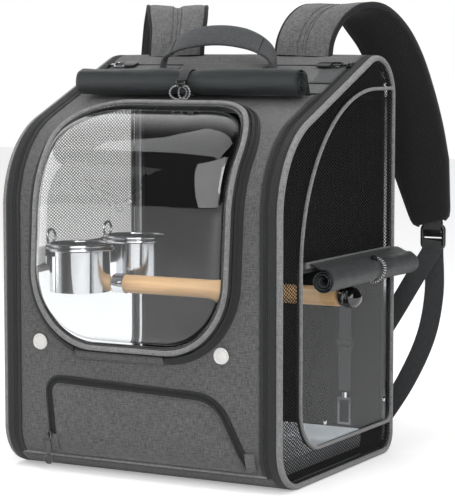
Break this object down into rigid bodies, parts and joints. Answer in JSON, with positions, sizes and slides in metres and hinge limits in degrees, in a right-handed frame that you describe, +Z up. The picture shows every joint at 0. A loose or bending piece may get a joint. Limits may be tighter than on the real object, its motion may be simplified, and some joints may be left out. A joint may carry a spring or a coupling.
{
  "type": "bird travel carrier",
  "caption": "Backpack-style bird carrier: zipped front door with a clear domed window, mesh and clear sides, perch, food cups, tray and shoulder straps.",
  "frame": {"origin": "middle of the base where it stands on the floor", "axes": "+Z up, +X to the right seen from the front, the front faces -Y and the wearer's back is at +Y"},
  "size_m": [0.4082, 0.3676, 0.4946],
  "materials": {
    "grey_fabric": "heathered woven polyester, dark grey",
    "black_fabric": "plain black woven polyester",
    "cover_fabric": "coated black-green lining, slight sheen",
    "mesh": "open black warp-knit mesh",
    "piping": "grey fabric piping",
    "zip": "black nylon coil zip",
    "wire": "spring steel hoop",
    "clear_panel": "clear flexible vinyl",
    "clear_dome": "clear vacuum-formed plastic",
    "strap_fabric": "padded strap, heathered grey outside, black mesh inside",
    "webbing": "dark grey ribbed webbing",
    "black_plastic": "glossy black plastic",
    "board": "stiffening board",
    "wood": "smooth pale hardwood",
    "steel": "polished stainless steel",
    "tray_white": "light grey plastic tray",
    "button_metal": "pale grey enamelled snap"
  },
  "bodies": {
    "pack": {"base_panel": "grey_fabric", "back_panel": "black_fabric", "top_panel": "grey_fabric", "left_rim": "black_fabric", "right_rim": "black_fabric", "left_piping": "piping", "right_piping": "piping", "left_zip": "zip", "right_zip": "zip", "left_frame_wire": "wire", "right_frame_wire": "wire", "left_side_panel": "mesh", "right_side_panel": "mesh", "left_side_window": "clear_panel", "right_side_window": "clear_panel", "left_inner_piping": "piping", "right_inner_piping": "piping", "left_cover": "cover_fabric", "right_cover": "cover_fabric", "left_cover_tie": "webbing", "right_cover_tie": "webbing", "top_band": "webbing", "back_pad": "mesh", "floor_board": "board", "back_board": "board", "left_shoulder_strap": "strap_fabric", "right_shoulder_strap": "strap_fabric", "left_buckle": "black_plastic", "right_buckle": "black_plastic", "left_webbing": "webbing", "right_webbing": "webbing", "left_webbing_tail": "webbing", "right_webbing_tail": "webbing", "perch": "wood", "perch_ferrule": "steel", "front_cup_holder": "steel", "rear_cup_holder": "steel", "tether_anchor": "black_fabric"},
    "front_door": {"front_panel": "grey_fabric", "door_tape": "black_fabric", "window_zip": "black_fabric", "window_hinge_tab": "grey_fabric", "pocket": "grey_fabric", "pocket_zip": "zip", "snap_buttons": "button_metal", "front_cover": "cover_fabric", "front_cover_tie": "webbing"},
    "window_door": {"window_frame": "black_fabric", "window_dome": "clear_dome"},
    "handle": {"carry_handle": "webbing"},
    "knob": {"perch_knob": "black_plastic"},
    "cup_front": {"front_cup": "steel"},
    "cup_rear": {"rear_cup": "steel"},
    "tray_body": {"tray": "tray_white"},
    "pocket_zip_pull": {"pocket_pull": "zip"},
    "left_zip_pull": {"left_door_pull": "black_plastic"},
    "right_zip_pull": {"right_door_pull": "black_plastic"},
    "tether_line": {"tether": "webbing"},
    "hook": {"swivel_hook": "steel"},
    "gate": {"hook_gate": "steel"}
  },
  "joints": [
    {"name": "front_door_open", "type": "hinge", "parent": "pack", "child": "front_door", "pos_m": [0, -0.12697, 0.01607], "axis": [1, 0, 0], "range_deg": [0, 70]},
    {"name": "window_open", "type": "hinge", "parent": "front_door", "child": "window_door", "pos_m": [0, -0.1497, 0.1308], "axis": [1, 0, 0], "range_deg": [0, 100]},
    {"name": "handle_fold", "type": "hinge", "parent": "pack", "child": "handle", "pos_m": [0, 0.034, 0.41834], "axis": [1, 0, 0], "range_deg": [-8, 40], "stiffness_Nm_per_rad": 0.05},
    {"name": "perch_knob_turn", "type": "hinge", "parent": "pack", "child": "knob", "pos_m": [0.17, 0.003, 0.185], "axis": [1, 0, 0], "continuous": true},
    {"name": "front_cup_lift", "type": "slide", "parent": "pack", "child": "cup_front", "axis": [0, 0, 1], "range_m": [0, 0.055]},
    {"name": "rear_cup_lift", "type": "slide", "parent": "pack", "child": "cup_rear", "axis": [0, 0, 1], "range_m": [0, 0.055]},
    {"name": "tray_lift", "type": "slide", "parent": "pack", "child": "tray_body", "axis": [0, 0, 1], "range_m": [0, 0.01]},
    {"name": "pocket_pull_swing", "type": "hinge", "parent": "front_door", "child": "pocket_zip_pull", "pos_m": [-0.104, -0.1442, 0.033], "axis": [-1, 0, 0], "range_deg": [0, 80]},
    {"name": "left_pull_lift", "type": "hinge", "parent": "pack", "child": "left_zip_pull", "pos_m": [-0.146, 0.052, 0.42509], "axis": [0, -0.9239, -0.3827], "range_deg": [0, 100]},
    {"name": "right_pull_lift", "type": "hinge", "parent": "pack", "child": "right_zip_pull", "pos_m": [0.146, 0.052, 0.42509], "axis": [0, 0.9239, 0.3827], "range_deg": [0, 100]},
    {"name": "tether_swing", "type": "hinge", "parent": "pack", "child": "tether_line", "pos_m": [0.112, 0.1211, 0.176], "axis": [-1, 0, 0], "range_deg": [0, 60]},
    {"name": "hook_swivel", "type": "hinge", "parent": "tether_line", "child": "hook", "pos_m": [0.112, 0.1211, 0.064], "axis": [0, 0, 1], "continuous": true},
    {"name": "gate_open", "type": "hinge", "parent": "hook", "child": "gate", "pos_m": [0.1188, 0.1211, 0.0362], "axis": [0, -1, 0], "range_deg": [0, 28], "stiffness_Nm_per_rad": 0.002, "springref_deg": -5.73}
  ]
}
